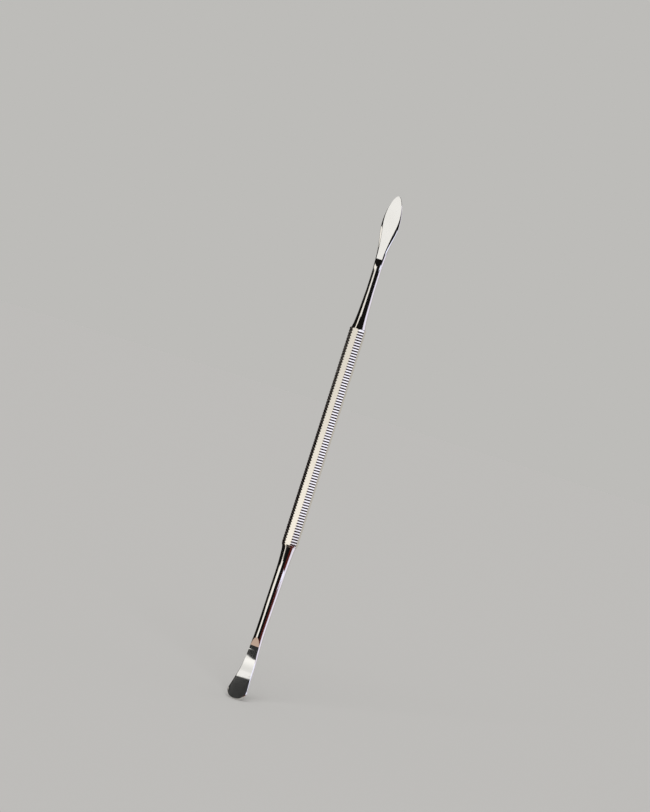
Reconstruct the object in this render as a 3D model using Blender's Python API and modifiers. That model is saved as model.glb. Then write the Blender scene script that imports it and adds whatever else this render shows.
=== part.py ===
# Double-ended sugaring spatula. An octagonal steel handle bar, plain and serrated on
# alternate facets, holds a pointed leaf blade at the top and a round-ended spoon blade
# at the bottom. Each working end is one forging, whose tang sits in a blind bore of the bar.
# Metres, +Z up. The tool stands on the spoon blade, and both blades face -Y.

import bpy
import bmesh
from math import cos, pi, radians, sin, sqrt, tan
from mathutils import Vector

MM = 0.001

# Handle bar
HANDLE_LENGTH = 76.05 * MM
HANDLE_FLATS = 5.17 * MM
HANDLE_SIDES = 8
SHOULDER_DIAMETER = 5.1 * MM
LOWER_SHOULDER_SLOPE = radians(16)
UPPER_SHOULDER_SLOPE = radians(40)

# Serration of every second facet
GROOVE_PITCH = 0.925 * MM
GROOVE_WIDTH = 0.62 * MM
GROOVE_DEPTH = 0.22 * MM
SERRATION_LAND = 0.45 * MM

# Collars and tangs of the working ends, and the room between them and the bar
COLLAR_DIAMETER = 4.75 * MM
TANG_DIAMETER = 2.4 * MM
TANG_LENGTH = 9.0 * MM
FIT_GAP = 0.3 * MM

# Leaf end, measured along its own centre line from its collar
LEAF_LENGTH = 45.55 * MM
LEAF_ROOT_DIAMETER = 4.15 * MM
LEAF_NECK_DIAMETER = 3.04 * MM
LEAF_TAPER_LENGTH = 13.0 * MM
LEAF_FLARE_LENGTH = 6.0 * MM
LEAF_FACE_START = 21.2 * MM
LEAF_RUNOUT = 4.2 * MM
LEAF_HEEL_SPREAD = 0.25 * MM
LEAF_WIDTH = 6.25 * MM
LEAF_TIP_LENGTH = 10.0 * MM
LEAF_HEEL_THICKNESS = 2.2 * MM
LEAF_TIP_THICKNESS = 0.5 * MM
LEAF_RIM_THICKNESS = 1.7 * MM
LEAF_LEAN_START = 14.8 * MM
LEAF_LEAN_LENGTH = 9.0 * MM
LEAF_LEAN = radians(3.0)
LEAF_SWELL_SHARE = 1.45
LEAF_BELLY_SHARE = 1.0
LEAF_TIP_SHARE = 0.63
LEAF_THINNING_SHARE = 1.6

# Spoon end, measured along its own centre line from its collar
SPOON_LENGTH = 53.8 * MM
SPOON_ROOT_DIAMETER = 3.95 * MM
SPOON_NECK_DIAMETER = 3.42 * MM
SPOON_TAPER_LENGTH = 27.0 * MM
SPOON_FLARE_LENGTH = 9.0 * MM
SPOON_FACE_START = 31.6 * MM
SPOON_RUNOUT = 4.5 * MM
SPOON_HEEL_SPREAD = 0.2 * MM
SPOON_WIDTH = 7.0 * MM
SPOON_TIP_LENGTH = 3.2 * MM
SPOON_HEEL_THICKNESS = 1.7 * MM
SPOON_TIP_THICKNESS = 0.9 * MM
SPOON_RIM_THICKNESS = 1.9 * MM
SPOON_LEAN_START = 0.0
SPOON_LEAN_LENGTH = 10.0 * MM
SPOON_LEAN = radians(3.9)
SPOON_BEND_START = 37.1 * MM
SPOON_BEND_LENGTH = 9.5 * MM
SPOON_BEND = radians(20.0)
SPOON_SWELL_SHARE = 1.8
SPOON_BELLY_SHARE = 0.0
SPOON_TIP_SHARE = 0.43
SPOON_THINNING_SHARE = 1.0

# How far cutters reach past what they cut, and how finely round forms are drawn
OVERRUN = 1.0 * MM
MERGE_DISTANCE = 0.001 * MM
RING_SIDES = 32
TURNED_STEPS = 48
BORE_SIDES = 24
RING_STEP = 1.3 * MM
TIP_RINGS = 7
PATH_STEPS = 240
SMOOTH_ANGLE = radians(25)

PARTS_NAME = "sugaring_spatula"
CUTTERS_NAME = "cutters"


def clear_scene():
    for obj in list(bpy.data.objects):
        bpy.data.objects.remove(obj, do_unlink=True)


def new_collection(name):
    collection = bpy.data.collections.new(name)
    bpy.context.scene.collection.children.link(collection)
    return collection


def steel(name, colour, roughness):
    material = bpy.data.materials.new(name)
    material.use_nodes = True
    shader = material.node_tree.nodes["Principled BSDF"]
    shader.inputs["Base Color"].default_value = (*colour, 1.0)
    shader.inputs["Metallic"].default_value = 1.0
    shader.inputs["Roughness"].default_value = roughness
    return material


def smoothstep(x):
    x = min(max(x, 0.0), 1.0)
    return x * x * (3.0 - 2.0 * x)


def move_to(obj, collection):
    for owner in list(obj.users_collection):
        owner.objects.unlink(obj)
    collection.objects.link(obj)
    return obj


def as_cutter(obj):
    obj.hide_render = True
    obj.display_type = "WIRE"
    return move_to(obj, cutters)


def combine(obj, cutter, operation):
    cutter.parent = obj
    modifier = obj.modifiers.new(cutter.name, "BOOLEAN")
    modifier.operation = operation
    modifier.object = cutter
    modifier.solver = "EXACT"


def cut_all(obj, name, several):
    """Takes several cutters, which may overlap, off one piece in a single cut."""
    together = bpy.data.collections.new(name)
    cutters.children.link(together)
    for cutter in several:
        cutter.parent = obj
        move_to(cutter, together)
    modifier = obj.modifiers.new(name, "BOOLEAN")
    modifier.operation = "DIFFERENCE"
    modifier.operand_type = "COLLECTION"
    modifier.collection = together
    modifier.solver = "EXACT"


def cylinder(name, diameter, bottom, top, sides):
    bpy.ops.mesh.primitive_cylinder_add(
        vertices=sides, radius=diameter / 2, depth=top - bottom,
        location=(0, 0, (bottom + top) / 2))
    obj = bpy.context.object
    obj.name = name
    return obj


def turned(name, profile):
    """A solid of revolution about Z; the profile runs down its outer side."""
    mesh = bpy.data.meshes.new(name)
    points = [(radius, 0, height) for radius, height in profile]
    edges = [(i, i + 1) for i in range(len(points) - 1)]
    mesh.from_pydata(points, edges, [])
    obj = bpy.data.objects.new(name, mesh)
    screw = obj.modifiers.new("turn", "SCREW")
    screw.steps = TURNED_STEPS
    screw.render_steps = TURNED_STEPS
    screw.use_merge_vertices = True
    screw.merge_threshold = MERGE_DISTANCE
    return obj


def plate(name, outline, thickness):
    """A flat outline in its own XY plane, thickened to both sides along its own Z."""
    curve = bpy.data.curves.new(name, "CURVE")
    curve.dimensions = "2D"
    curve.fill_mode = "BOTH"
    curve.extrude = thickness / 2
    spline = curve.splines.new("POLY")
    spline.points.add(len(outline) - 1)
    for point, (x, y) in zip(spline.points, outline):
        point.co = (x, y, 0, 1)
    spline.use_cyclic_u = True
    drawn = bpy.data.objects.new(name, curve)
    bpy.context.scene.collection.objects.link(drawn)
    bpy.context.view_layer.update()
    evaluated = drawn.evaluated_get(bpy.context.evaluated_depsgraph_get())
    mesh = bpy.data.meshes.new_from_object(evaluated)
    bpy.data.objects.remove(drawn, do_unlink=True)
    mesh.name = name
    bm = bmesh.new()
    bm.from_mesh(mesh)
    bmesh.ops.remove_doubles(bm, verts=bm.verts, dist=MERGE_DISTANCE)
    bmesh.ops.recalc_face_normals(bm, faces=bm.faces)
    bm.to_mesh(mesh)
    bm.free()
    return bpy.data.objects.new(name, mesh)


def shoulder_ring(name, slope, clear_radius):
    """What is turned off the lower end of the bar: the space round a cone, as a ring."""
    shoulder_radius = SHOULDER_DIAMETER / 2
    cone_height = (clear_radius - shoulder_radius) / tan(slope)
    return as_cutter(turned(name, [
        (clear_radius, cone_height),
        (clear_radius, -OVERRUN),
        (shoulder_radius - OVERRUN * tan(slope), -OVERRUN),
        (clear_radius, cone_height),
    ]))


def handle_bar():
    """Octagonal bar with facets square to X and Y, turned ends, grooves and two bores."""
    corner_radius = HANDLE_FLATS / 2 / cos(pi / HANDLE_SIDES)
    bar = cylinder("handle", 2 * corner_radius, 0, HANDLE_LENGTH, HANDLE_SIDES)
    bar.rotation_euler.z = pi / HANDLE_SIDES
    bar.data.transform(bar.matrix_basis)
    bar.matrix_basis.identity()
    move_to(bar, parts)

    # The cone at each end, which meets the facets in small arcs
    lower_ring = shoulder_ring("lower_shoulder", LOWER_SHOULDER_SLOPE, corner_radius + OVERRUN)
    upper_ring = shoulder_ring("upper_shoulder", UPPER_SHOULDER_SLOPE, corner_radius + OVERRUN)
    upper_ring.rotation_euler.x = pi
    upper_ring.location.z = HANDLE_LENGTH

    # The grooves, as one zigzag comb for each serrated facet
    run = HANDLE_LENGTH - 2 * SERRATION_LAND - GROOVE_WIDTH
    count = int(run / GROOVE_PITCH) + 1
    first = (HANDLE_LENGTH - (count - 1) * GROOVE_PITCH) / 2
    bottom = HANDLE_FLATS / 2 - GROOVE_DEPTH
    crest = bottom + GROOVE_DEPTH * GROOVE_PITCH / GROOVE_WIDTH
    outline = [
        (HANDLE_LENGTH - first + GROOVE_PITCH / 2, crest + OVERRUN),
        (first - GROOVE_PITCH / 2, crest + OVERRUN),
        (first - GROOVE_PITCH / 2, crest),
    ]
    for i in range(count):
        middle = first + i * GROOVE_PITCH
        outline += [(middle, bottom), (middle + GROOVE_PITCH / 2, crest)]
    facet_width = HANDLE_FLATS * tan(pi / HANDLE_SIDES)
    combs = []
    for k in range(HANDLE_SIDES // 2):
        comb = as_cutter(plate(f"groove_comb_{k + 1}", outline, facet_width + 4 * GROOVE_DEPTH))
        comb.rotation_euler = (0, -pi / 2, (2 * k + 1) * 2 * pi / HANDLE_SIDES)
        combs.append(comb)

    # The blind bores for the tangs
    bore_diameter = TANG_DIAMETER + 2 * FIT_GAP
    bore_depth = TANG_LENGTH + FIT_GAP
    lower_bore = as_cutter(cylinder(
        "lower_bore", bore_diameter, -OVERRUN, bore_depth, BORE_SIDES))
    upper_bore = as_cutter(cylinder(
        "upper_bore", bore_diameter, HANDLE_LENGTH - bore_depth, HANDLE_LENGTH + OVERRUN,
        BORE_SIDES))

    cut_all(bar, "handle_cuts", [lower_ring, upper_ring, *combs, lower_bore, upper_bore])
    return bar


def centre_line(length, bends):
    """Points and tilts along a line that rises from the collar and bends towards -Y.

    Each bend is where it starts, how long it is and how far it turns.
    """
    path = [(Vector((0, 0, 0)), 0.0)]
    step = length / PATH_STEPS
    for i in range(PATH_STEPS):
        middle = (i + 0.5) * step
        tilt = sum(turn * smoothstep((middle - start) / span) for start, span, turn in bends)
        before = path[-1][0]
        path.append((before + step * Vector((0, -sin(tilt), cos(tilt))), tilt))
    return path


def place_on(path, length, distance):
    """The point and tilt at a distance along the line; past its end the line runs straight."""
    step = length / PATH_STEPS
    i = min(int(distance / step), PATH_STEPS - 1)
    (low, _), (high, tilt) = path[i], path[i + 1]
    return low + (distance / step - i) * (high - low), tilt


def blade_sizes(end, distance):
    """Half width, half thickness of the forged blank and half thickness between the faces."""
    neck = end["neck_diameter"] / 2
    taper = max(1 - distance / end["taper_length"], 0)
    flare = max(1 - distance / end["flare_length"], 0)
    root = end["root_diameter"] / 2
    collar = COLLAR_DIAMETER / 2
    shank = neck + (root - neck) * taper + (collar - root) * flare ** 2

    start = end["face_start"]
    widest = end["length"] - end["tip_length"]
    swell = max(distance - start, 0) / (widest - start)
    grown = swell ** end["swell_share"]
    grown += end["belly_share"] * (smoothstep(grown) - grown)
    spread = end["heel_spread"] / 2
    begun = smoothstep((distance - start) / end["runout"] + 0.5)
    half_width = shank + spread * begun + (end["width"] / 2 - neck - spread) * grown
    rim = end["rim_thickness"] / 2
    blank = shank + (rim - neck) * smoothstep(swell)

    to_tip = max(end["length"] - distance, 0)
    if to_tip < end["tip_length"]:
        rest = 1 - to_tip / end["tip_length"]
        half_width = end["width"] / 2 * (1 - rest ** 2) ** end["tip_share"]
    if to_tip < rim:
        blank *= sqrt(1 - (1 - to_tip / rim) ** 2)

    heel = end["heel_thickness"] / 2
    tip = end["tip_thickness"] / 2
    runout_end = start + end["runout"]
    if distance < runout_end:
        ramp = (distance - start) / end["runout"]
        face = heel + (neck - heel) * (1 - sin(ramp * pi / 2))
    else:
        thinning = max(1 - (distance - runout_end) / (end["length"] - runout_end), 0)
        face = tip + (heel - tip) * thinning ** end["thinning_share"]
    return half_width, blank, face


def ring_distances(end):
    """Where the blank's rings lie: evenly along it, and closer together round the tip."""
    widest = end["length"] - end["tip_length"]
    count = round(widest / RING_STEP)
    distances = [widest * i / count for i in range(count + 1)]
    count = max(round(end["tip_length"] / RING_STEP) * 2, TIP_RINGS)
    for i in range(1, count):
        distances.append(widest + end["tip_length"] * sin(i / count * pi / 2))
    return distances


def forged_blank(name, end, path):
    """The forging before its faces are ground: a loft from the round shank to the flat oval."""
    bm = bmesh.new()
    rings = []
    for distance in ring_distances(end):
        centre, tilt = place_on(path, end["length"], distance)
        half_width, blank, _ = blade_sizes(end, distance)
        front = Vector((0, -cos(tilt), -sin(tilt)))
        ring = []
        for i in range(RING_SIDES):
            turn = 2 * pi * i / RING_SIDES
            offset = Vector((half_width * cos(turn), 0, 0)) + blank * sin(turn) * front
            ring.append(bm.verts.new(centre + offset))
        rings.append(ring)
    for lower, upper in zip(rings, rings[1:]):
        for i in range(RING_SIDES):
            j = (i + 1) % RING_SIDES
            bm.faces.new((lower[i], lower[j], upper[j], upper[i]))
    bm.faces.new(rings[0])
    point = bm.verts.new(place_on(path, end["length"], end["length"])[0])
    for i in range(RING_SIDES):
        bm.faces.new((rings[-1][i], rings[-1][(i + 1) % RING_SIDES], point))
    bmesh.ops.recalc_face_normals(bm, faces=bm.faces)
    mesh = bpy.data.meshes.new(name)
    bm.to_mesh(mesh)
    bm.free()
    obj = bpy.data.objects.new(name, mesh)
    parts.objects.link(obj)
    return obj


def face_profile(end, path):
    """The side view that the ground faces leave: wide round the shank, then the blade.

    The faces start a step early, outside the shank, so that they cut in cleanly.
    """
    wide = COLLAR_DIAMETER
    start = end["face_start"] - RING_STEP
    count = round((end["length"] - start) / RING_STEP) * 2
    front, back = [], []
    for i in range(count + 1):
        distance = start + (end["length"] - start) * i / count
        centre, tilt = place_on(path, end["length"], distance)
        face = blade_sizes(end, distance)[2]
        normal = Vector((0, -cos(tilt), -sin(tilt)))
        front.append(centre + face * normal)
        back.append(centre - face * normal)
    along = Vector((0, -sin(tilt), cos(tilt)))
    front.append(front[-1] + OVERRUN * along)
    back.append(back[-1] + OVERRUN * along)
    outline = [(point.y, point.z) for point in front]
    outline += [(point.y, point.z) for point in reversed(back)]
    outline += [(wide, back[0].z), (wide, -OVERRUN), (-wide, -OVERRUN), (-wide, front[0].z)]
    return outline


def working_end(name, end):
    """One forging: blade and shank rising from the collar at its origin, tang below it."""
    path = centre_line(end["length"], end["bends"])
    obj = forged_blank(name, end, path)
    faces = as_cutter(plate(name + "_faces", face_profile(end, path), end["width"] + 2 * OVERRUN))
    faces.rotation_euler = (pi / 2, 0, pi / 2)
    combine(obj, faces, "INTERSECT")
    tang = cylinder(name + "_tang", TANG_DIAMETER, -TANG_LENGTH, OVERRUN, BORE_SIDES)
    combine(obj, as_cutter(tang), "UNION")
    return obj


def finish(obj, material):
    obj.data.materials.append(material)
    obj.data.shade_smooth()
    obj.data.set_sharp_from_angle(angle=SMOOTH_ANGLE)


def stand_on_origin(objects):
    """Carries the pieces on one empty, with the bottom centre of their box at the origin."""
    root = bpy.data.objects.new("tool_origin", None)
    parts.objects.link(root)
    for obj in objects:
        obj.parent = root
    bpy.context.view_layer.update()
    graph = bpy.context.evaluated_depsgraph_get()
    corners = []
    for obj in objects:
        evaluated = obj.evaluated_get(graph)
        corners += [evaluated.matrix_world @ Vector(corner) for corner in evaluated.bound_box]
    low = Vector(min(corner[axis] for corner in corners) for axis in range(3))
    high = Vector(max(corner[axis] for corner in corners) for axis in range(3))
    root.location = (-(low.x + high.x) / 2, -(low.y + high.y) / 2, -low.z)


LEAF = {
    "length": LEAF_LENGTH,
    "root_diameter": LEAF_ROOT_DIAMETER,
    "neck_diameter": LEAF_NECK_DIAMETER,
    "taper_length": LEAF_TAPER_LENGTH,
    "flare_length": LEAF_FLARE_LENGTH,
    "face_start": LEAF_FACE_START,
    "runout": LEAF_RUNOUT,
    "heel_spread": LEAF_HEEL_SPREAD,
    "width": LEAF_WIDTH,
    "tip_length": LEAF_TIP_LENGTH,
    "heel_thickness": LEAF_HEEL_THICKNESS,
    "tip_thickness": LEAF_TIP_THICKNESS,
    "rim_thickness": LEAF_RIM_THICKNESS,
    "swell_share": LEAF_SWELL_SHARE,
    "belly_share": LEAF_BELLY_SHARE,
    "tip_share": LEAF_TIP_SHARE,
    "thinning_share": LEAF_THINNING_SHARE,
    "bends": [(LEAF_LEAN_START, LEAF_LEAN_LENGTH, LEAF_LEAN)],
}

SPOON = {
    "length": SPOON_LENGTH,
    "root_diameter": SPOON_ROOT_DIAMETER,
    "neck_diameter": SPOON_NECK_DIAMETER,
    "taper_length": SPOON_TAPER_LENGTH,
    "flare_length": SPOON_FLARE_LENGTH,
    "face_start": SPOON_FACE_START,
    "runout": SPOON_RUNOUT,
    "heel_spread": SPOON_HEEL_SPREAD,
    "width": SPOON_WIDTH,
    "tip_length": SPOON_TIP_LENGTH,
    "heel_thickness": SPOON_HEEL_THICKNESS,
    "tip_thickness": SPOON_TIP_THICKNESS,
    "rim_thickness": SPOON_RIM_THICKNESS,
    "swell_share": SPOON_SWELL_SHARE,
    "belly_share": SPOON_BELLY_SHARE,
    "tip_share": SPOON_TIP_SHARE,
    "thinning_share": SPOON_THINNING_SHARE,
    "bends": [
        (SPOON_LEAN_START, SPOON_LEAN_LENGTH, SPOON_LEAN),
        (SPOON_BEND_START, SPOON_BEND_LENGTH, SPOON_BEND),
    ],
}

clear_scene()
parts = new_collection(PARTS_NAME)
cutters = new_collection(CUTTERS_NAME)

handle = handle_bar()
finish(handle, steel("handle_steel", (0.80, 0.79, 0.76), 0.12))

leaf_end = working_end("leaf_end", LEAF)
leaf_end.location = (0, 0, HANDLE_LENGTH + FIT_GAP)
finish(leaf_end, steel("leaf_steel", (0.82, 0.82, 0.81), 0.14))

spoon_end = working_end("spoon_end", SPOON)
spoon_end.location = (0, 0, -FIT_GAP)
spoon_end.rotation_euler = (0, pi, 0)
finish(spoon_end, steel("spoon_steel", (0.80, 0.80, 0.79), 0.08))

stand_on_origin([handle, leaf_end, spoon_end])
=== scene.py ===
from math import cos, pi, radians, sin, sqrt, tan

import bmesh
import bpy
from mathutils import Matrix, Vector


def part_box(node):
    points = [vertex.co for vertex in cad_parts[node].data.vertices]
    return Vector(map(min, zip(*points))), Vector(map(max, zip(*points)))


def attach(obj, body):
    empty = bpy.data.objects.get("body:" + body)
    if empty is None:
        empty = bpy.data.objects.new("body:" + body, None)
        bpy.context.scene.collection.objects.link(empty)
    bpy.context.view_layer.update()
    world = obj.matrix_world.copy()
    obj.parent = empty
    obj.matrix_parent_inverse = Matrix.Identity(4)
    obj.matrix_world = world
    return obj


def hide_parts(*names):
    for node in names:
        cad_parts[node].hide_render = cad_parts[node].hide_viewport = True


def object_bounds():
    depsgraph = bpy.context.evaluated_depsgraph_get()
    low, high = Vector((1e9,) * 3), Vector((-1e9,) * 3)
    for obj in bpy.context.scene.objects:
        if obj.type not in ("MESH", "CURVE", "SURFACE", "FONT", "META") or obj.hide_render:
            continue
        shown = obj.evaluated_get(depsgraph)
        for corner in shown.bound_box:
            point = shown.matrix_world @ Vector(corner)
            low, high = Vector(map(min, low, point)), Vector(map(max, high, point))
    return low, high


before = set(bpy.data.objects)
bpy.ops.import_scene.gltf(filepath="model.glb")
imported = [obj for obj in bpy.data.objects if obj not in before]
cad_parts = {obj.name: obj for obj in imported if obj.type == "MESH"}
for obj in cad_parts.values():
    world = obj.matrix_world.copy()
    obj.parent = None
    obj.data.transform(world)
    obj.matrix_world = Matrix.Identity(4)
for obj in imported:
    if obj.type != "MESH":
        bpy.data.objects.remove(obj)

cad_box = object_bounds()


# The handle bar
#
# An octagonal bar of stainless steel, milled across on every second facet so that wet fingers
# hold it, turned to a cone at both ends and bored there for the tangs of the two blades.
# Its plain facets are ground lengthwise and polished.
MM = 0.001
low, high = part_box("handle")
handle_bottom, handle_top = low.z, high.z
handle_length = high.z - low.z
handle_flats = high.x - low.x
axis_y = (low.y + high.y) / 2

FACETS = 8
SHOULDER_DIAMETER = 5.1 * MM
LOWER_SHOULDER_SLOPE = radians(16)
UPPER_SHOULDER_SLOPE = radians(40)
GROOVE_PITCH = 0.925 * MM
GROOVE_DEPTH = 0.22 * MM
GROOVE_COUNT = 81
# One groove from crest to crest: share of the pitch from its middle, share of its depth
GROOVE_SHAPE_SHARES = [(-0.5, 0.0), (-0.27, 0.02), (-0.22, 0.14), (-0.06, 0.93), (0.0, 1.0),
                       (0.06, 0.93), (0.22, 0.14), (0.27, 0.02), (0.5, 0.0)]
GROOVE_HALF_SHARE = 0.24
LEAST_SLANT = 0.2         # of a serrated facet's normal, along X and along Y
BORE_DIAMETER = 3.0 * MM
BORE_DEPTH = 9.3 * MM
HANDLE_EDGE = 0.03 * MM
SPARE = 1.0 * MM
TOLERANCE = 0.001 * MM
ENVELOPE_SIDES = 128
BORE_SIDES = 48
SMOOTH_ANGLE = radians(25)
BEVEL_ANGLE = radians(30)


def alone(obj):
    """Select only this object and make it active."""
    bpy.ops.object.select_all(action="DESELECT")
    obj.select_set(True)
    bpy.context.view_layer.objects.active = obj


def added(name):
    """Name the primitive that was just added, with its place in its mesh."""
    obj = bpy.context.object
    obj.name = obj.data.name = name
    alone(obj)
    bpy.ops.object.transform_apply(location=True, rotation=True, scale=True)
    return obj


def pick(kind, test):
    """In edit mode, select just the verts, edges or faces that pass the test."""
    bpy.ops.mesh.select_mode(type={"verts": "VERT", "edges": "EDGE", "faces": "FACE"}[kind])
    bpy.ops.mesh.select_all(action="DESELECT")
    mesh = bmesh.from_edit_mesh(bpy.context.object.data)
    for element in getattr(mesh, kind):
        element.select_set(bool(test(element)))
    bmesh.update_edit_mesh(bpy.context.object.data)


def pull(shift):
    """Extrude what is selected by the shift."""
    bpy.ops.mesh.extrude_region_move(TRANSFORM_OT_translate={"value": shift})


def resize(value, centre):
    """Scale what is selected about the centre."""
    bpy.ops.transform.resize(value=value, center_override=centre)


def modify(obj, kind, **settings):
    """Add a modifier and apply it."""
    alone(obj)
    modifier = obj.modifiers.new(kind.title(), kind)
    for key, value in settings.items():
        setattr(modifier, key, value)
    bpy.ops.object.modifier_apply(modifier=modifier.name)


def cut(obj, tool, operation):
    """Exact Boolean with a tool that is then thrown away."""
    modify(obj, "BOOLEAN", operation=operation, object=tool, solver="EXACT",
           material_mode="TRANSFER")
    bpy.data.objects.remove(tool)


def at_z(height):
    """A test for the corners at this height."""
    return lambda vert: abs(vert.co.z - height) < TOLERANCE


def drawn_in(height, depth):
    """The corners of the ring at this height, slid along the plain facets to a groove depth."""
    flat = handle_flats / 2
    full = flat * tan(pi / FACETS)
    share = ((flat - depth) * sqrt(2) - flat) / full
    centre = (0, axis_y, height)
    ring = at_z(height)
    pick("verts", lambda v: ring(v) and abs(v.co.x) > abs(v.co.y - axis_y))
    resize((1, share, 1), centre)
    pick("verts", lambda v: ring(v) and abs(v.co.x) < abs(v.co.y - axis_y))
    resize((share, 1, 1), centre)


def rgb(code):
    """An sRGB hex colour as a linear colour with alpha."""
    parts = [int(code[i:i + 2], 16) / 255 for i in (1, 3, 5)]
    return tuple(c / 12.92 if c <= 0.04045 else ((c + 0.055) / 1.055) ** 2.4 for c in parts) + (1,)


def add(tree, kind, sockets, **settings):
    """Add a node with its settings, and give each socket its constant or its link."""
    node = tree.nodes.new(kind)
    for key, value in settings.items():
        setattr(node, key, value)
    for key, value in sockets.items():
        if isinstance(value, bpy.types.NodeSocket):
            tree.links.new(value, node.inputs[key])
        else:
            node.inputs[key].default_value = value
    return node


def empty_material(name):
    """A new material without nodes, and its node tree."""
    material = bpy.data.materials.new(name)
    material.use_nodes = True
    material.node_tree.nodes.clear()
    return material, material.node_tree


def steel(name, tone, dull_tone, rough, line_length, line_bump):
    """Stainless steel with grinding lines along Z, faint clouds of polish and a few nicks."""
    material, tree = empty_material(name)
    place = add(tree, "ShaderNodeTexCoord", {}).outputs["Object"]
    # Lines 0.08 mm apart; the real ones of fine polish are 0.02 mm apart, too fine to show
    drawn = add(tree, "ShaderNodeMapping", {
        "Vector": place, "Scale": (1 / (0.08 * MM), 1 / (0.08 * MM), 1 / line_length)})
    lines = add(tree, "ShaderNodeTexNoise", {
        "Vector": drawn.outputs[0], "Scale": 1.0, "Detail": 3.0, "Roughness": 0.6}).outputs["Fac"]
    clouds = add(tree, "ShaderNodeTexNoise", {
        "Vector": place, "Scale": 1 / (6 * MM), "Detail": 2.0, "Roughness": 0.5}).outputs["Fac"]
    cells = add(tree, "ShaderNodeTexVoronoi", {
        "Vector": place, "Scale": 1 / (1.3 * MM)}, feature="F1").outputs["Distance"]
    # Sockets 6 and 7 of this node are its two colours
    colour = add(tree, "ShaderNodeMix", {
        "Factor": clouds, 6: rgb(tone), 7: rgb(dull_tone)}, data_type="RGBA")
    # Roughness: the clouds, then the lines and the nicks on top
    polish = add(tree, "ShaderNodeMapRange", {
        "Value": clouds, "To Min": rough * 0.8, "To Max": rough * 1.1})
    scored = add(tree, "ShaderNodeMath", {
        0: lines, 1: rough * 0.3, 2: polish.outputs[0]}, operation="MULTIPLY_ADD")
    nicks = add(tree, "ShaderNodeMapRange", {
        "Value": cells, "From Min": 0.05, "From Max": 0.0, "To Min": 0.0, "To Max": rough * 0.5})
    worn = add(tree, "ShaderNodeMath", {
        0: scored.outputs[0], 1: nicks.outputs[0]}, operation="ADD")
    bump = add(tree, "ShaderNodeBump", {"Height": lines, "Strength": 1.0, "Distance": line_bump})
    shader = add(tree, "ShaderNodeBsdfPrincipled", {
        "Metallic": 1.0, "Base Color": colour.outputs[2], "Roughness": worn.outputs[0],
        "Normal": bump.outputs[0]})
    add(tree, "ShaderNodeOutputMaterial", {"Surface": shader.outputs[0]})
    return material


# Stainless steel, ground lengthwise and mopped: a broad soft gloss, cream where it meets light
ground_steel = steel("ground_stainless_steel", "#EFE9DE", "#E6E0D4", 0.12, 3 * MM, 0.0002 * MM)
# The grooves as the cutter left them, rougher; their darker rose-grey is painted shade and a
# painted rose reflection
painted_shade_groove_steel = steel("groove_steel_with_painted_shade", "#8A797B", "#563F40", 0.34, 0.6 * MM, 0.002 * MM)
# And as the lathe left it on the cones: fine rings, polished over
turned_steel = steel("turned_stainless_steel", "#E6E4E0", "#D8D5CF", 0.16, 0.12 * MM, 0.0003 * MM)


# One pitch of the bar, ring by ring
first_middle = handle_bottom + (handle_length - (GROOVE_COUNT - 1) * GROOVE_PITCH) / 2
height = first_middle - GROOVE_PITCH / 2
bpy.ops.mesh.primitive_circle_add(
    vertices=FACETS, radius=handle_flats / 2 / cos(pi / FACETS), fill_type="NOTHING",
    location=(0, axis_y, height), rotation=(0, 0, pi / FACETS))
handle = added("handle_bar")
bpy.ops.object.mode_set(mode="EDIT")
bpy.ops.mesh.select_all(action="SELECT")
for along, _ in GROOVE_SHAPE_SHARES[1:]:
    pick("edges", lambda e: all(at_z(height)(v) for v in e.verts))
    step = first_middle + along * GROOVE_PITCH - height
    pull((0, 0, step))
    height += step
for along, deep in GROOVE_SHAPE_SHARES[1:-1]:
    drawn_in(first_middle + along * GROOVE_PITCH, deep * GROOVE_DEPTH)
handle.data.materials.append(ground_steel)
handle.data.materials.append(painted_shade_groove_steel)
# The groove flanks take the rough steel with painted shade and a painted rose reflection
pick("faces", lambda f: min(abs(f.normal.x), abs(f.normal.y)) > LEAST_SLANT
     and abs(f.calc_center_median().z - first_middle) < GROOVE_HALF_SHARE * GROOVE_PITCH)
handle.active_material_index = 1
bpy.ops.object.material_slot_assign()
bpy.ops.object.mode_set(mode="OBJECT")

# All the pitches, then a plain stub past each end, closed
modify(handle, "ARRAY", count=GROOVE_COUNT, use_relative_offset=False, use_constant_offset=True,
       constant_offset_displace=(0, 0, GROOVE_PITCH), use_merge_vertices=True,
       merge_threshold=TOLERANCE)
bpy.ops.object.mode_set(mode="EDIT")
grooves_low = first_middle - GROOVE_PITCH / 2
grooves_high = grooves_low + GROOVE_COUNT * GROOVE_PITCH
for start, end in ((grooves_low, handle_bottom - SPARE), (grooves_high, handle_top + SPARE)):
    pick("edges", lambda e: all(at_z(start)(v) for v in e.verts))
    pull((0, 0, end - start))
    bpy.ops.mesh.edge_face_add()
bpy.ops.mesh.select_all(action="SELECT")
bpy.ops.mesh.normals_make_consistent(inside=False)
bpy.ops.object.mode_set(mode="OBJECT")

# The turned envelope: a cylinder whose ends are drawn in to the two cones
corner = handle_flats / 2 / cos(pi / FACETS) + SPARE
shoulder = SHOULDER_DIAMETER / 2
lower_cone = (corner - shoulder) / tan(LOWER_SHOULDER_SLOPE)
upper_cone = (corner - shoulder) / tan(UPPER_SHOULDER_SLOPE)
bpy.ops.mesh.primitive_cylinder_add(
    vertices=ENVELOPE_SIDES, radius=corner, depth=handle_length - lower_cone - upper_cone,
    location=(0, axis_y, (handle_bottom + lower_cone + handle_top - upper_cone) / 2))
envelope = added("turned_envelope")
envelope.data.materials.append(turned_steel)
bpy.ops.object.mode_set(mode="EDIT")
for start, cone in ((handle_bottom + lower_cone, -lower_cone),
                    (handle_top - upper_cone, upper_cone)):
    pick("faces", lambda f: all(at_z(start)(v) for v in f.verts))
    pull((0, 0, cone))
    resize((shoulder / corner, shoulder / corner, 1), (0, axis_y, start + cone))
bpy.ops.object.mode_set(mode="OBJECT")
cut(handle, envelope, "INTERSECT")
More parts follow.
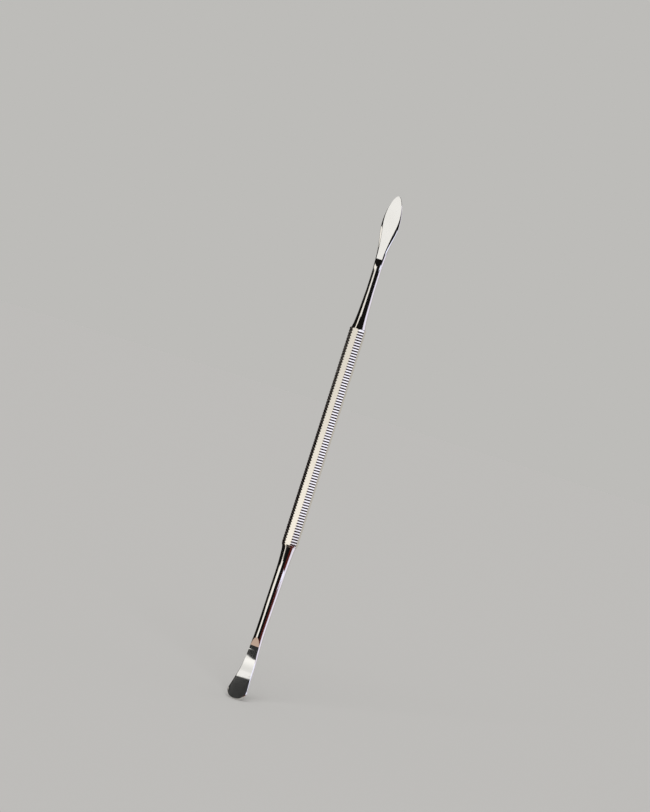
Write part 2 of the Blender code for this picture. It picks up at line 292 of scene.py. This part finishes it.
for bottom in (handle_bottom - SPARE, handle_top - BORE_DEPTH):
    bpy.ops.mesh.primitive_cylinder_add(
        vertices=BORE_SIDES, radius=BORE_DIAMETER / 2, depth=BORE_DEPTH + SPARE,
        location=(0, axis_y, bottom + (BORE_DEPTH + SPARE) / 2))
    bore = added("bore")
    bore.data.materials.append(turned_steel)
    cut(handle, bore, "DIFFERENCE")
bpy.ops.object.shade_smooth_by_angle(angle=SMOOTH_ANGLE)
# The rounded edges take their shading from the flats, which stay flat to the eye
modify(handle, "BEVEL", width=HANDLE_EDGE, segments=2, limit_method="ANGLE",
       angle_limit=BEVEL_ANGLE, use_clamp_overlap=True, harden_normals=True)
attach(handle, "root")
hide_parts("handle")


# The leaf end
#
# One forging of stainless steel: a round shank that tapers from the handle and is then ground
# from both sides into a thin pointed leaf. Its tang is brazed into the bore of the handle,
# and the braze is filed flush, so no joint shows. Polished to a mirror.
COLLAR_DIAMETER = 4.75 * MM
TANG_DIAMETER = 2.4 * MM
TANG_LENGTH = 9.0 * MM
FIT_GAP = 0.3 * MM
BRAZE_LENGTH = 1.2 * MM
BRAZE_SHARE = 0.7         # of the step from the collar up to the handle's shoulder
BRAZE_CURVE = 1.2
BLADE_SIDES = 64
TANG_SIDES = 48
RING_STEP = 0.4 * MM
TIP_RINGS = 1.6           # times as many rings towards the tip
SHANK_RINGS = 40          # of the slab, which must bend with the shank
BEND_STEPS = 8            # from one ring to the next
LEAST_TURN = 1e-7         # in radians, from one ring to the next
TINY = 0.01 * MM
MERGE_DISTANCE = 0.0005 * MM

# A bend is its start, its length and its turn forward. The shares say how late the blade
# swells, how full its belly is, how pointed its tip is and how soon it thins.
leaf = {
    "length": 45.55 * MM, "root_diameter": 4.15 * MM, "neck_diameter": 3.04 * MM,
    "taper_length": 13 * MM, "flare_length": 6 * MM,
    "face_start": 21.2 * MM, "runout": 4.2 * MM, "heel_spread": 0.25 * MM,
    "width": 6.25 * MM, "tip_length": 10 * MM,
    "heel_thickness": 2.2 * MM, "tip_thickness": 0.5 * MM, "rim_thickness": 1.7 * MM,
    "bends": [(14.8 * MM, 9 * MM, radians(3))],
    "swell_share": 1.45, "belly_share": 1.0, "tip_share": 0.63, "thinning_share": 1.6,
}


def smoothstep(x):
    """From 0 to 1 with a level start and end."""
    x = min(max(x, 0.0), 1.0)
    return x * x * (3 - 2 * x)


def tilt_at(end, distance):
    """How far the shank has bent forward at this distance from the collar."""
    return sum(turn * smoothstep((distance - start) / span) for start, span, turn in end["bends"])


def sizes_at(end, distance):
    """Half width, half thickness of the round forging, and half thickness between the faces."""
    neck = end["neck_diameter"] / 2
    taper = max(1 - distance / end["taper_length"], 0)
    flare = max(1 - distance / end["flare_length"], 0)
    root = end["root_diameter"] / 2
    collar = COLLAR_DIAMETER / 2
    shank = neck + (root - neck) * taper + (collar - root) * flare ** 2
    start = end["face_start"]
    widest = end["length"] - end["tip_length"]
    swell = max(distance - start, 0) / (widest - start)
    grown = swell ** end["swell_share"]
    grown += end["belly_share"] * (smoothstep(grown) - grown)
    spread = end["heel_spread"] / 2
    begun = smoothstep((distance - start) / end["runout"] + 0.5)
    half_width = shank + spread * begun + (end["width"] / 2 - neck - spread) * grown
    rim = end["rim_thickness"] / 2
    blank = shank + (rim - neck) * smoothstep(swell)
    to_tip = max(end["length"] - distance, 0)
    if to_tip < end["tip_length"]:
        rest = 1 - to_tip / end["tip_length"]
        half_width = end["width"] / 2 * (1 - rest ** 2) ** end["tip_share"]
    if to_tip < rim:
        blank *= sqrt(1 - (1 - to_tip / rim) ** 2)
    heel, tip = end["heel_thickness"] / 2, end["tip_thickness"] / 2
    runout_end = start + end["runout"]
    if distance < runout_end:
        ramp = (distance - start) / end["runout"]
        face = heel + (neck - heel) * (1 - sin(ramp * pi / 2))
    else:
        thinning = max(1 - (distance - runout_end) / (end["length"] - runout_end), 0)
        face = tip + (heel - tip) * thinning ** end["thinning_share"]
    return half_width, blank, face


def stations(end, first):
    """Distances of the rings: even up to the widest place, then closer towards the tip."""
    widest = end["length"] - end["tip_length"]
    count = round((widest - first) / RING_STEP)
    marks = [first + (widest - first) * i / count for i in range(count + 1)]
    count = round(TIP_RINGS * end["tip_length"] / RING_STEP)
    return marks + [widest + end["tip_length"] * sin(i / count * pi / 2)
                    for i in range(1, count + 1)]


def draw_out(name, sides, turn, marks, size, end):
    """Draw a ring out along the bent centre line, like a smith, through the sizes at the marks."""
    width, thick = size(marks[0])
    centre, tilt = Vector((0, 0, marks[0])), 0.0
    bpy.ops.mesh.primitive_circle_add(vertices=sides, radius=width, fill_type="NGON",
                                      location=centre, rotation=(0, 0, turn))
    obj = added(name)
    bpy.ops.object.mode_set(mode="EDIT")
    bpy.ops.mesh.select_all(action="SELECT")
    resize((1, thick / width, 1), centre)
    for before, mark in zip(marks, marks[1:]):
        shift = Vector((0, 0, 0))
        for i in range(BEND_STEPS):
            lean = tilt_at(end, before + (mark - before) * (i + 0.5) / BEND_STEPS)
            shift += (mark - before) / BEND_STEPS * Vector((0, -sin(lean), cos(lean)))
        pull(shift)
        centre = centre + shift
        new_width, new_thick = size(mark)
        resize((new_width / width, new_thick / thick, new_thick / thick), centre)
        new_tilt = tilt_at(end, mark)
        if abs(new_tilt - tilt) > LEAST_TURN:
            # With no window the operator turns the other way
            bpy.ops.transform.rotate(value=tilt - new_tilt, orient_axis="X",
                                     center_override=centre)
        width, thick, tilt = new_width, new_thick, new_tilt
    bpy.ops.mesh.select_all(action="SELECT")
    bpy.ops.mesh.remove_doubles(threshold=MERGE_DISTANCE)
    bpy.ops.mesh.normals_make_consistent(inside=False)
    bpy.ops.object.mode_set(mode="OBJECT")
    return obj


# Stainless steel polished to a mirror: crisp reflections, with hair-fine lines round the shank
mirror_steel = steel("mirror_polished_stainless_steel", "#E9E8E5", "#DEDCD8", 0.05, 0.3 * MM,
                     0.0002 * MM)
# The same steel where the wheel ran along the blade: as bright, with its lines lengthwise
face_steel = steel("wheel_polished_stainless_steel", "#EFEFED", "#E6E5E2", 0.035, 5 * MM,
                   0.0001 * MM)


def forged_end(name, end):
    """Shank and blade rising from the collar at the origin, with the tang below."""
    def round_size(distance):
        """Half width and half thickness of the round forging, with the braze at its foot."""
        half_width, blank, face = sizes_at(end, max(distance, 0))
        braze = max(1 - (distance + FIT_GAP) / BRAZE_LENGTH, 0) ** BRAZE_CURVE
        braze *= BRAZE_SHARE * (SHOULDER_DIAMETER - COLLAR_DIAMETER) / 2
        return max(half_width, TINY) + braze, max(blank, TINY) + braze

    def faces_size(distance):
        """Size of the slab's square ring, the root of two times its half width and depth."""
        if distance < end["face_start"] - RING_STEP - TINY / 2:
            return end["width"], end["width"]
        return end["width"], sizes_at(end, distance)[2] * sqrt(2)

    blade = draw_out(name, BLADE_SIDES, 0, stations(end, -FIT_GAP), round_size, end)
    blade.data.materials.append(mirror_steel)
    # The two ground faces as one slab, wide open round the shank
    start = end["face_start"] - RING_STEP
    shank = [start * i / SHANK_RINGS for i in range(SHANK_RINGS)]
    marks = [-SPARE] + shank + [start - TINY] + stations(end, start) + [end["length"] + SPARE]
    slab = draw_out(name + "_faces", 4, pi / 4, marks, faces_size, end)
    slab.data.materials.append(face_steel)
    cut(blade, slab, "INTERSECT")
    # The edge round each ground face stays crisp, however flat the angle
    bpy.ops.object.mode_set(mode="EDIT")
    pick("edges", lambda e: len({f.material_index for f in e.link_faces}) > 1)
    bpy.ops.mesh.mark_sharp()
    bpy.ops.object.mode_set(mode="OBJECT")
    bpy.ops.mesh.primitive_cylinder_add(
        vertices=TANG_SIDES, radius=TANG_DIAMETER / 2, depth=TANG_LENGTH + SPARE,
        location=(0, 0, (SPARE - TANG_LENGTH) / 2))
    cut(blade, added(name + "_tang"), "UNION")
    return blade


leaf_end = forged_end("leaf_blade", leaf)
alone(leaf_end)
leaf_end.location = (0, axis_y, handle_top + FIT_GAP)
bpy.ops.object.transform_apply(location=True, rotation=True, scale=True)
bpy.ops.object.shade_smooth_by_angle(angle=SMOOTH_ANGLE)
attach(leaf_end, "root")
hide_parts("leaf_end")


# The spoon end
#
# The other forging: a longer shank, bent a little forward, ground from both sides to a blade
# with a round end that curves forward. Fixed and polished as the leaf end is.
spoon = {
    "length": 53.8 * MM, "root_diameter": 3.95 * MM, "neck_diameter": 3.42 * MM,
    "taper_length": 27 * MM, "flare_length": 9 * MM,
    "face_start": 31.6 * MM, "runout": 4.5 * MM, "heel_spread": 0.2 * MM,
    "width": 7.0 * MM, "tip_length": 3.2 * MM,
    "heel_thickness": 1.7 * MM, "tip_thickness": 0.9 * MM, "rim_thickness": 1.9 * MM,
    "bends": [(0, 10 * MM, radians(3.9)), (37.1 * MM, 9.5 * MM, radians(20))],
    "swell_share": 1.8, "belly_share": 0.0, "tip_share": 0.43, "thinning_share": 2.0,
}
spoon_end = forged_end("spoon_blade", spoon)
alone(spoon_end)
spoon_end.location = (0, axis_y, handle_bottom - FIT_GAP)
spoon_end.rotation_euler = (0, pi, 0)
bpy.ops.object.transform_apply(location=True, rotation=True, scale=True)
bpy.ops.object.shade_smooth_by_angle(angle=SMOOTH_ANGLE)
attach(spoon_end, "root")
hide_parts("spoon_end")


# The floor and the studio round the tool
#
# A plain pale matt board, lit from the front by one soft lamp. White paper screens stand close to
# the tool for its reflections, as for any shiny tool, with the dark room behind them.
FLOOR_RADIUS = 3.0
FLOOR_SIDES = 128
SCREEN_SIDES = 360
SCREEN_SPARE = 5          # mm above and below, before the screen is cut to its outline
NEAR, SIDE, FRONT, BEHIND, WIDE = 0.15, 0.2, 0.25, 0.26, 0.4     # screens, from the tool's axis
GLOW_RADIUS = 70 * MM
GLOW_SIDES = 96
GLOW_HEIGHT = 0.1 * MM
WARM_START = 14 * MM
ROOM_RADIUS = 4.0
ROOM_SIDES = 48
ROOM_MIDDLE = 0.1
LAMP_PLACE = (0.21, -0.98, 0.58)
LAMP_STRENGTH = 2.39
LAMP_ANGLE = radians(40)


def staged(obj, glossy_only):
    """A thing of the studio; a screen for reflections shows and lights nothing else."""
    obj.visible_shadow = False
    obj.visible_glossy = glossy_only
    if glossy_only:
        obj.visible_camera = obj.visible_diffuse = False
        obj.visible_transmission = obj.visible_volume_scatter = False


def glowing(name, code, strength):
    """Lit paper, of one strength or fading from one height (mm) to the next: {height: strength}."""
    material, tree = empty_material(name)
    if isinstance(strength, dict):
        place = add(tree, "ShaderNodeTexCoord", {}).outputs["Object"]
        height = add(tree, "ShaderNodeSeparateXYZ", {"Vector": place}).outputs["Z"]
        marks = sorted(strength)
        total = strength[marks[0]]
        for lower, upper in zip(marks, marks[1:]):
            change = add(tree, "ShaderNodeMapRange", {
                "Value": height, "From Min": lower * MM, "From Max": upper * MM,
                "To Min": 0.0, "To Max": strength[upper] - strength[lower]},
                interpolation_type="SMOOTHSTEP")
            total = add(tree, "ShaderNodeMath", {0: total, 1: change.outputs[0]},
                        operation="ADD").outputs[0]
        strength = total
    light = add(tree, "ShaderNodeEmission", {"Color": rgb(code), "Strength": strength})
    add(tree, "ShaderNodeOutputMaterial", {"Surface": light.outputs[0]})
    return material


bpy.ops.mesh.primitive_circle_add(vertices=FLOOR_SIDES, radius=FLOOR_RADIUS, fill_type="NGON")
floor = added("floor_board")
# Painted board without any gloss, a light warm grey
material, tree = empty_material("matt_pale_board")
shader = add(tree, "ShaderNodeBsdfPrincipled", {
    "Base Color": rgb("#C8C7C6"), "Roughness": 0.9, "Specular IOR Level": 0.0})
add(tree, "ShaderNodeOutputMaterial", {"Surface": shader.outputs[0]})
floor.data.materials.append(material)
staged(floor, False)


def sheet(left, right, bottom, top):
    """The corners of an upright sheet between two azimuths and two heights in mm."""
    return [(left, bottom), (right, bottom), (right, top), (left, top)]


def outward(azimuth):
    """The level direction away from the tool at this azimuth, which is 0 at the front."""
    return Vector((sin(radians(azimuth)), -cos(radians(azimuth)), 0))


def screen(name, radius, corners, code, strength):
    """A paper screen curved round the tool's axis; its corners are (azimuth, height in mm)."""
    azimuths = [azimuth for azimuth, _ in corners]
    heights = [height for _, height in corners]
    bottom = min(heights) - SCREEN_SPARE
    top = max(heights) + SCREEN_SPARE
    middle = Vector((0, axis_y, (bottom + top) / 2 * MM))
    bpy.ops.mesh.primitive_cylinder_add(
        vertices=SCREEN_SIDES, radius=radius, depth=(top - bottom) * MM,
        end_fill_type="NOTHING", location=middle)
    obj = added(name)
    bpy.ops.object.mode_set(mode="EDIT")
    facing = outward(sum(azimuths) / len(azimuths))
    pick("faces", lambda f: (f.calc_center_median() - middle).dot(facing) < 0)
    bpy.ops.mesh.delete(type="FACE")
    for (a1, h1), (a2, h2) in zip(corners, corners[1:] + corners[:1]):
        start = Vector((0, axis_y, h1 * MM)) + radius * outward(a1)
        end = Vector((0, axis_y, h2 * MM)) + radius * outward(a2)
        normal = outward((a1 + a2) / 2).cross(end - start)
        bpy.ops.mesh.select_all(action="SELECT")
        bpy.ops.mesh.bisect(plane_co=start, plane_no=normal, clear_inner=True)
    bpy.ops.object.mode_set(mode="OBJECT")
    obj.data.materials.append(glowing(name + "_glow", code, strength))
    staged(obj, True)


# Wide of the tool on its left, for the cream streak down each shank and the leaf's left rim
screen("cream_screen_low", NEAR, sheet(-38, -26, -120, 55), "#FFF9EE", 1.1)
screen("cream_screen_high", NEAR, sheet(-41, -26, 124, 260), "#FFF9EE", 1.1)
screen("rim_screen", WIDE, sheet(-100, -41, 75, 130), "#FFFBF4", 1.2)
# In front, for the plain facet and the faces of both blades
front_light = {30: 1.15, 110: 0.88, 130: 0.88, 150: 1.0}
screen("left_front_screen", FRONT,
       [(-26, 13), (-20.5, 13), (-20.5, 175.5), (-22.6, 182), (-26, 182)], "#FFFDFA", front_light)
screen("right_front_screen", FRONT, sheet(-20.5, -6, 19, 170), "#FFFDFA", front_light)
screen("front_foot", FRONT, [(-20.5, -20.5), (-17, 19), (-20.5, 19)], "#FFFDFA", 1.0)
screen("facet_screen_left", FRONT, sheet(-50, -26, 32, 124), "#FFFAF0", front_light)
screen("facet_screen_right", FRONT, sheet(-6, 4, 58, 120), "#F4F0EA", front_light)
# Above and below them, dim walls for the round end and the dark ring of the spoon
screen("dim_wall_high", BEHIND, sheet(-32, -20, 165, 650), "#FFFFFF", 0.035)
screen("dim_wall_low", BEHIND, sheet(-32, -4, -250, 24), "#FFFFFF", 0.035)
# On the right, for the serrated facet and the second streak, with rose cards for the dark between
screen("lilac_screen_low", SIDE, sheet(86, 134, -60, 36), "#F0EBFD", 1.15)
screen("rose_card", SIDE, sheet(46, 86, -60, 36), "#8A3B36", 0.4)
screen("rose_card_high", SIDE, sheet(46, 62, 36, 57), "#8A3B36", 0.4)
screen("lilac_screen", SIDE, sheet(62, 92, 36, 136), "#E4E8FF", 1.6)
screen("lilac_screen_side", SIDE, sheet(92, 134, 36, 55), "#F0EBFD", 1.15)
screen("grey_screen", SIDE, sheet(92, 134, 55, 136), "#C8C2C3", 1.0)
screen("lilac_screen_high", SIDE, sheet(86, 134, 136, 260), "#F0EBFD", 1.15)
# Behind, for whoever walks round the tool
screen("rear_screen", FRONT, sheet(134, 235, -20, 260), "#CCCAC7", 0.9)

# The floor as the steel sees it, warm from a finger's breadth in front of the tool
bpy.ops.mesh.primitive_circle_add(vertices=GLOW_SIDES, radius=GLOW_RADIUS, fill_type="NGON",
                                  location=(0, 0, GLOW_HEIGHT))
glow = added("floor_glow")
glow.data.materials.append(glowing("floor_light_front", "#DABCAA", 0.85))
glow.data.materials.append(glowing("floor_light_rear", "#D2D0CC", 0.7))
bpy.ops.object.mode_set(mode="EDIT")
bpy.ops.mesh.select_all(action="SELECT")
bpy.ops.mesh.bisect(plane_co=(0, -WARM_START, 0), plane_no=(0, 1, 0))
pick("faces", lambda f: f.calc_center_median().y > -WARM_START)
glow.active_material_index = 1
bpy.ops.object.material_slot_assign()
bpy.ops.object.mode_set(mode="OBJECT")
staged(glow, True)

bpy.ops.mesh.primitive_uv_sphere_add(
    segments=ROOM_SIDES, ring_count=ROOM_SIDES // 2, radius=ROOM_RADIUS,
    location=(0, 0, ROOM_MIDDLE))
room = added("dark_room")
room.data.materials.append(glowing("dark_room_walls", "#FFF4EE", 0.008))
staged(room, True)

bpy.ops.object.light_add(type="SUN", location=LAMP_PLACE)
lamp = bpy.context.object
lamp.name = "soft_lamp"
lamp.data.energy = LAMP_STRENGTH
lamp.data.angle = LAMP_ANGLE
lamp.rotation_euler = (-lamp.location).to_track_quat("-Z", "Y").to_euler()
lamp.visible_glossy = False

world = bpy.data.worlds.new("pale_room")
bpy.context.scene.world = world
world.use_nodes = True
background = world.node_tree.nodes["Background"].inputs
background["Color"].default_value = rgb("#BDBCB9")
background["Strength"].default_value = 1.0
world.cycles_visibility.glossy = False
bpy.context.scene.view_settings.view_transform = "Standard"


# The camera
#
# A long lens at the photograph's viewing angle, turned about its axis because the tool leans
# to the right there. The frame is 650 by 812.
CAMERA_AZIMUTH = radians(18)
CAMERA_ELEVATION = radians(2)
CAMERA_ROLL = radians(17.64)
CAMERA_DISTANCE = 1.2
SENSOR_SIZE = 36
NEAR_CLIP = 0.01
FRAME_HEIGHT = 269.06 * MM
PIXELS_HIGH = 812
AIM_RIGHT, AIM_UP = 7.0, 41.9     # pixels from the tool's middle to the frame's

back = Vector((sin(CAMERA_AZIMUTH) * cos(CAMERA_ELEVATION),
               -cos(CAMERA_AZIMUTH) * cos(CAMERA_ELEVATION), sin(CAMERA_ELEVATION)))
level = Vector((cos(CAMERA_AZIMUTH), sin(CAMERA_AZIMUTH), 0))
above = back.cross(level)
right = cos(CAMERA_ROLL) * level + sin(CAMERA_ROLL) * above
up = cos(CAMERA_ROLL) * above - sin(CAMERA_ROLL) * level
middle = (Vector(cad_box[0]) + Vector(cad_box[1])) / 2
aim = middle + (AIM_RIGHT * right + AIM_UP * up) * FRAME_HEIGHT / PIXELS_HIGH
bpy.ops.object.camera_add()
camera = bpy.context.object
camera.data.sensor_width = SENSOR_SIZE
camera.data.lens = SENSOR_SIZE * CAMERA_DISTANCE / FRAME_HEIGHT
camera.data.clip_start = NEAR_CLIP
camera.matrix_world = Matrix.Translation(aim + CAMERA_DISTANCE * back) @ Matrix(
    (right, up, back)).transposed().to_4x4()
bpy.context.scene.camera = camera
